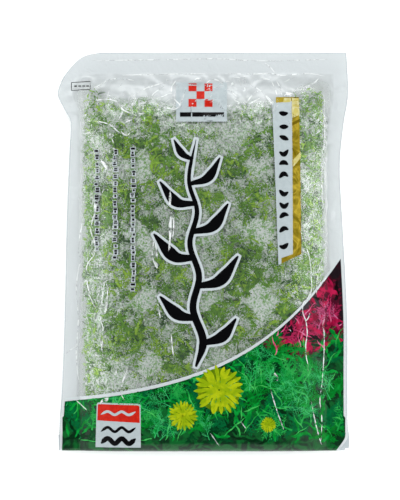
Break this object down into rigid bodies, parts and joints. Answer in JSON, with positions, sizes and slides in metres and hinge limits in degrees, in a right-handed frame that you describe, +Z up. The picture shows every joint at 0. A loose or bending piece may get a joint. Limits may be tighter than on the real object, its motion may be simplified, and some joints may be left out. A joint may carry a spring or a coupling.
{
  "type": "pouch of salted tosaka seaweed",
  "caption": "Sealed clear film pouch, lying on its back, filled with a compressed mass of forked green seaweed fronds packed in coarse salt.",
  "frame": {"origin": "on the surface that the pouch lies on, under the middle of its outline", "axes": "+Z up, out of the printed front; +Y to the pouch's top seal; +X to the right as the front is read"},
  "size_m": [0.2041, 0.2799, 0.0233],
  "materials": {
    "clear_film": "thin clear laminate, glossy and slightly hazy",
    "seaweed": "moist, slightly translucent green blades",
    "salt": "coarse white salt, moist"
  },
  "bodies": {
    "root": {"film_front": "clear_film", "film_back": "clear_film", "tuft_01": "seaweed", "tuft_02": "seaweed", "tuft_03": "seaweed", "tuft_04": "seaweed", "tuft_05": "seaweed", "tuft_06": "seaweed", "tuft_07": "seaweed", "tuft_08": "seaweed", "tuft_09": "seaweed", "tuft_10": "seaweed", "tuft_11": "seaweed", "tuft_12": "seaweed", "tuft_13": "seaweed", "tuft_14": "seaweed", "tuft_15": "seaweed", "tuft_16": "seaweed", "tuft_17": "seaweed", "tuft_18": "seaweed", "tuft_19": "seaweed", "tuft_20": "seaweed", "salt_01": "salt", "salt_02": "salt", "salt_03": "salt", "salt_04": "salt", "salt_05": "salt", "salt_06": "salt", "salt_07": "salt", "salt_08": "salt", "salt_09": "salt", "salt_10": "salt", "salt_11": "salt", "salt_12": "salt"}
  },
  "joints": []
}
